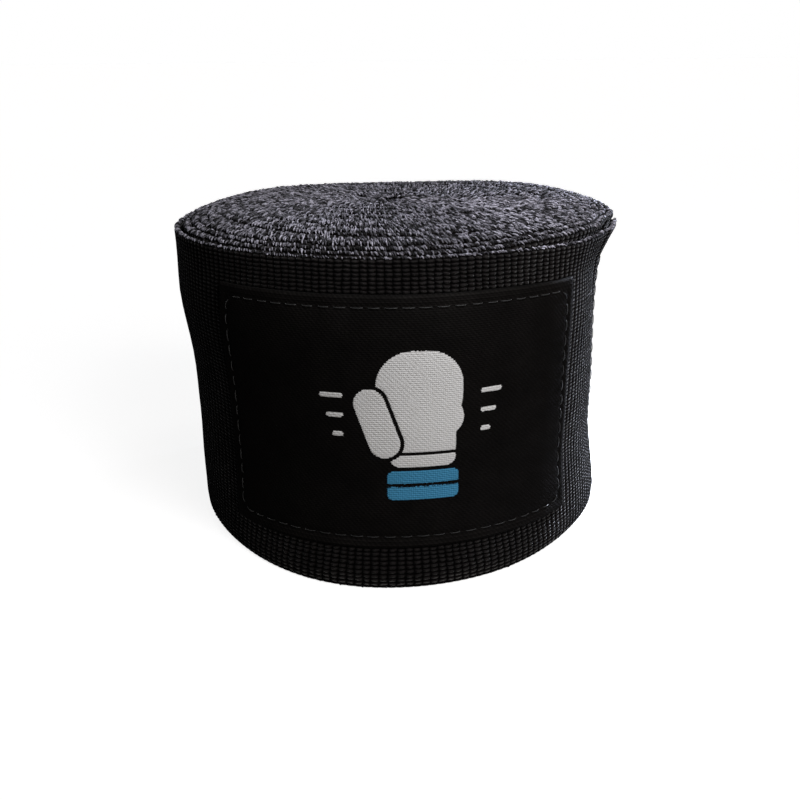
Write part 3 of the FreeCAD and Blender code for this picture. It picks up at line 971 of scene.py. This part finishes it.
def label():
    """The sewn label over the flap, with a badge woven in it."""
    reach = math.radians(LABEL_END - LABEL_START) * LABEL_OUTSIDE
    across = np.linspace(-reach / 2, reach / 2, int(reach / LABEL_STEP) + 1)
    tall = np.linspace(LABEL_LOW, LABEL_HIGH, int((LABEL_HIGH - LABEL_LOW) / LABEL_STEP) + 1)
    u, v, out = front_and_back(across, tall, LABEL_BACK_STEP)
    edge = np.minimum(reach / 2 - np.abs(u), np.minimum(v - LABEL_LOW, LABEL_HIGH - v))
    furrow = FURROW_DEPTH * np.exp(-((edge - LABEL_SEAM_INSET) / FURROW_WIDTH) ** 2)
    white, blue = badge((u / MM) - BADGE_RIGHTWARDS, (v - LABEL_CENTRE) / MM)
    raised = BADGE_RELIEF * (1 - ramp(np.minimum(white, blue), -0.3, 0.3))
    pucker = PUCKER * ripple(u, PUCKER_WAVES, SEED + 7) * np.exp(-edge / PUCKER_REACH)
    thinning = LABEL_THIN_EDGE + (1 - LABEL_THIN_EDGE) * rounded(edge / LABEL_EDGE_ROUND)
    thick = LABEL_THICKNESS * thinning - furrow + raised + pucker
    base = LABEL_OUTSIDE - LABEL_THICKNESS
    radius = np.where(out, base + thick, base)
    points = place(LABEL_MIDDLE + u * LABEL_TURN, radius, v)
    from_border = np.minimum(v - LABEL_LOW, LABEL_HIGH - v)
    weave = np.stack([u, v, from_border], axis=-1) / MM
    fields = {"weave": weave.reshape(-1, 3), "white_yarn": white.ravel(), "blue_yarn": blue.ravel()}
    piece = skin("label_cloth", points, LABEL_FINISH, fields)
    join_strap(piece, FLAP_BODIES, CURL_ZONE)
    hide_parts("label_inner_half", "label_outer_half")
    route = rounded_border(*LABEL_AREA, LABEL_OUTSIDE, LABEL_SEAM_INSET, LABEL_CORNER)
    seam = stitches("label_thread", route, LABEL_OUTSIDE - LABEL_STITCH_SINK, LABEL_STITCH,
                    LABEL_STITCH_LIFT, SEED + 8)
    join_strap(seam, FLAP_BODIES, CURL_ZONE)
    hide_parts("label_stitching_inner", "label_stitching_outer")


label()


# -------- the fastening tapes

HOOK_PITCH = 1.15 * MM
HOOK_SHAPE = np.array([(0, 0), (0.0, 0.16), (0.02, 0.27), (0.14, 0.33), (0.26, 0.26)]) * MM
HOOK_RADII = np.array([0.1, 0.08, 0.07, 0.065, 0.05]) * MM
PILE_PITCH = 1.05 * MM
PILE_STEPS = np.linspace(0, 1, 5)
PILE_RADIUS = 0.07 * MM
PILE_LIFT = 0.22 * MM
PATCH_AREA = (PATCH_START, PATCH_END, PATCH_LOW, PATCH_HIGH)
PATCH_SEAM_INSET = 1.2 * MM
PATCH_CORNER = 2.0 * MM
PATCH_STITCH = 1.9 * MM
PATCH_STITCH_LIFT = 0.12 * MM
TAB_STITCH_LIFT = 0.1 * MM
TAB_SEAM_INSET = 1.5 * MM
TAB_SEAM_ENDS = 2.0 * MM
TAPE_STEP = 1.2 * MM
TAPE_BORDERS = np.array([0, 0.1, 0.35]) * MM
TAPE_THIN_EDGE = 0.4
SPOT_STRAY = 0.15
HOOK_ROOM = 0.25 * MM
HOOK_SINK = 0.04 * MM
HOOK_MARGIN = 1.0 * MM
PILE_ROOM = 0.18 * MM
PILE_SINK = 0.06 * MM
PILE_MARGIN = 0.5 * MM
PILE_LENGTHS = (0.5, 0.95)
PILE_LIFTS = (0.6, 1.1)


def curved_tape(name, start, end, low, high, inside, outside, material):
    """A plain tape bent round the roll, with softly rounded borders."""
    reach = math.radians(end - start) * outside
    across = np.linspace(0, reach, int(reach / TAPE_STEP) + 1)
    across = np.unique(np.concatenate([across, TAPE_BORDERS, reach - TAPE_BORDERS]))
    tall = np.linspace(low, high, int((high - low) / TAPE_STEP) + 1)
    tall = np.unique(np.concatenate([tall, low + TAPE_BORDERS, high - TAPE_BORDERS]))
    u, v, out = front_and_back(across, tall, 1)
    edge = np.minimum(np.minimum(u, reach - u), np.minimum(v - low, high - v))
    thinning = TAPE_THIN_EDGE + (1 - TAPE_THIN_EDGE) * rounded(edge / TAPE_BORDERS[-1])
    half = (outside - inside) / 2 * thinning
    radius = (outside + inside) / 2 + np.where(out, half, -half)
    return skin(name, place(start + np.degrees(u / outside), radius, v), material)


def spots(start, end, low, high, radius, pitch, margin, seed):
    """Slightly uneven rows of spots over a tape: bearings and heights."""
    random = np.random.default_rng(seed)
    turn = math.degrees(1 / radius)
    across = np.arange(start + margin * turn, end - margin * turn, pitch * turn)
    tall = np.arange(low + margin, high - margin, pitch)
    bearing, height = (each.ravel() for each in np.meshgrid(across, tall, indexing="ij"))
    bearing = bearing + random.uniform(-SPOT_STRAY, SPOT_STRAY, len(bearing)) * pitch * turn
    height = height + random.uniform(-SPOT_STRAY, SPOT_STRAY, len(height)) * pitch
    return bearing, height, random


def hook_tape():
    """The hook tape sewn inside the flap, with its small hooks pointing at the roll."""
    inside = HOOK_OUTSIDE - HOOK_THICKNESS + HOOK_ROOM
    tape = curved_tape("hook_tape", *LABEL_AREA, inside, HOOK_OUTSIDE, HOOK_FINISH)
    bearing, height, random = spots(*LABEL_AREA, inside, HOOK_PITCH, HOOK_MARGIN, SEED + 9)
    facing = random.choice([-1.0, 1.0], len(bearing))[:, None]
    along = facing * np.degrees(HOOK_SHAPE[:, 0] / inside)[None, :]
    paths = place(bearing[:, None] + along, inside + HOOK_SINK - HOOK_SHAPE[None, :, 1], height[:, None])
    hooks = threads("hook_tape_hooks", paths, HOOK_RADII, YARN_SIDES, HOOK_FINISH)
    for piece in (tape, hooks):
        join_strap(piece, FLAP_BODIES, CURL_ZONE)
    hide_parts("hook_tape_inner", "hook_tape_outer")


def loop_tape():
    """The loop tape sewn on the roll under the flap, with its brushed pile and its seam."""
    surface = PATCH_OUTSIDE - PILE_ROOM
    inside = PATCH_OUTSIDE - PATCH_THICKNESS
    tape = curved_tape("loop_tape", *PATCH_AREA, inside, surface, PILE_FINISH)
    bearing, height, random = spots(*PATCH_AREA, surface, PILE_PITCH, PILE_MARGIN, SEED + 10)
    count = len(bearing)
    heading = random.uniform(0, 2 * np.pi, count)[:, None]
    size = random.uniform(*PILE_LENGTHS, count)[:, None] * MM
    shift = size * (PILE_STEPS[None, :] - 0.5)
    along = np.degrees(shift * np.cos(heading) / surface)
    lift = PILE_LIFT * random.uniform(*PILE_LIFTS, count)[:, None] * np.sin(np.pi * PILE_STEPS)[None, :]
    up = height[:, None] + shift * np.sin(heading)
    paths = place(bearing[:, None] + along, surface - PILE_SINK + lift, up)
    pile = threads("loop_tape_pile", paths, PILE_RADIUS, YARN_SIDES, PILE_FINISH)
    route = rounded_border(*PATCH_AREA, surface, PATCH_SEAM_INSET, PATCH_CORNER)
    seam = stitches("loop_tape_thread", route, surface, PATCH_STITCH, PATCH_STITCH_LIFT, SEED + 11)
    for piece in (tape, pile, seam):
        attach(piece, "roll")
    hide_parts("loop_patch")
    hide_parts("loop_patch_stitching")


def tab_seam():
    """The row of stitches across the strap that holds the hem of the pull tab."""
    bearing = TAB_END - math.degrees((HEM_LENGTH - TAB_SEAM_INSET) / FLAP_OUTSIDE)
    heights = np.linspace(TAB_SEAM_ENDS, STRAP_WIDTH - TAB_SEAM_ENDS, 60)
    route = np.stack([np.full(len(heights), bearing), heights], axis=-1)
    seam = stitches("tab_thread", route, FLAP_OUTSIDE, PATCH_STITCH, TAB_STITCH_LIFT, SEED + 12)
    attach(seam, "pull_tab")
    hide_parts("tab_hem_stitching")


loop_tape()
hook_tape()
tab_seam()


# -------- the thumb loop


def thumb_loop():
    """The thumb loop stays the part's own shape, in woven tape and thread.

    It is a tape twice as long as the loop, doubled over and lying in the roll's core.
    """
    for name, material in (("thumb_loop", TAPE_FINISH), ("thumb_loop_stitching", THREAD_FINISH)):
        for slot in bpy.data.objects[name].material_slots:
            slot.material = material


thumb_loop()


# -------- stage

FLOOR_HALF = 60.0
CAMERA_BACK = 158.5 * MM
CAMERA_SIDE = 1.5 * MM
CAMERA_HEIGHT = 75.5 * MM
CAMERA_PITCH = 20.7
CAMERA_ROLL = -0.56
CAMERA_TURN = -0.17
CAMERA_SENSOR = 36.0
CAMERA_VIEW = 47.9


def studio_floor():
    """A wide pale floor at the roll's foot."""
    mesh = bpy.data.meshes.new("studio_floor")
    signs = ((-1, -1), (1, -1), (1, 1), (-1, 1))
    corners = [(x * FLOOR_HALF, y * FLOOR_HALF, 0) for x, y in signs]
    mesh.from_pydata(corners, [], [(0, 1, 2, 3)])
    mesh.materials.append(FLOOR_FINISH)
    stand("studio_floor", mesh)


def sunlight(name, towards, softness, power, colour):
    """Even light over the whole floor, from a direction, through a window of softness degrees."""
    lamp = bpy.data.lights.new(name, "SUN")
    lamp.angle = math.radians(softness)
    lamp.energy = power
    lamp.color = colour
    light = stand(name, lamp)
    light.rotation_euler = Vector(towards).to_track_quat("Z", "Y").to_euler()


def soft_light(name, position, target, size, spread, power, colour):
    """A square area light that faces a target, its beam narrowed to a spread in degrees."""
    lamp = bpy.data.lights.new(name, "AREA")
    lamp.size = size
    lamp.spread = math.radians(spread)
    lamp.energy = power
    lamp.color = colour
    light = stand(name, lamp)
    light.location = position
    aim = Vector(target) - light.location
    light.rotation_euler = aim.to_track_quat("-Z", "Y").to_euler()


def pale_world():
    """A dim, even surround that looks pale to the camera."""
    world = bpy.data.worlds.new("studio_surround")
    bpy.context.scene.world = world
    world.use_nodes = True
    tree = world.node_tree
    dim = tree.nodes["Background"]
    dim.inputs["Color"].default_value = (0.95, 0.97, 1.0, 1.0)
    dim.inputs["Strength"].default_value = 0.05
    seen = add(tree, "Background", {"Color": grey(1.0)}).outputs[0]
    camera_ray = add(tree, "LightPath").outputs["Is Camera Ray"]
    either = add(tree, "MixShader", {0: camera_ray, 1: dim.outputs[0], 2: seen}).outputs[0]
    tree.links.new(either, tree.nodes["World Output"].inputs["Surface"])


def camera():
    """The camera in front of the label, a little above the roll and looking down on it."""
    lens = bpy.data.cameras.new("camera")
    lens.sensor_width = CAMERA_SENSOR
    lens.angle = math.radians(CAMERA_VIEW)
    lens.clip_start = 1 * MM
    seen_from = stand("camera", lens)
    seen_from.location = (AXIS[0] + CAMERA_SIDE, AXIS[1] - CAMERA_BACK, CAMERA_HEIGHT)
    aim = Euler((math.radians(90 - CAMERA_PITCH), 0, math.radians(-CAMERA_TURN)))
    roll = Euler((0, 0, math.radians(CAMERA_ROLL)))
    seen_from.rotation_euler = (aim.to_matrix() @ roll.to_matrix()).to_euler()
    bpy.context.scene.camera = seen_from


studio_floor()
sunlight("key", (0.50, 0.10, 1.0), 20.0, 0.2, (1.0, 0.99, 1.0))
sunlight("back", (-0.5, 1.0, 0.12), 30.0, 0.8, (0.95, 0.97, 1.0))
sunlight("fill", (0.80, -0.9, 0.35), 40.0, 1.25, (1.0, 0.94, 0.89))
soft_light("top", (0.022, -0.06, 0.112), (0.01, -0.005, 0.05), 0.04, 120.0, 0.028, (0.95, 0.96, 1.0))
soft_light("side", (0.14, 0.11, 0.078), (0.037, -0.005, 0.01), 0.05, 32.0, 0.08, (0.78, 0.84, 1.0))
pale_world()
camera()
bpy.context.scene.view_settings.view_transform = "Standard"
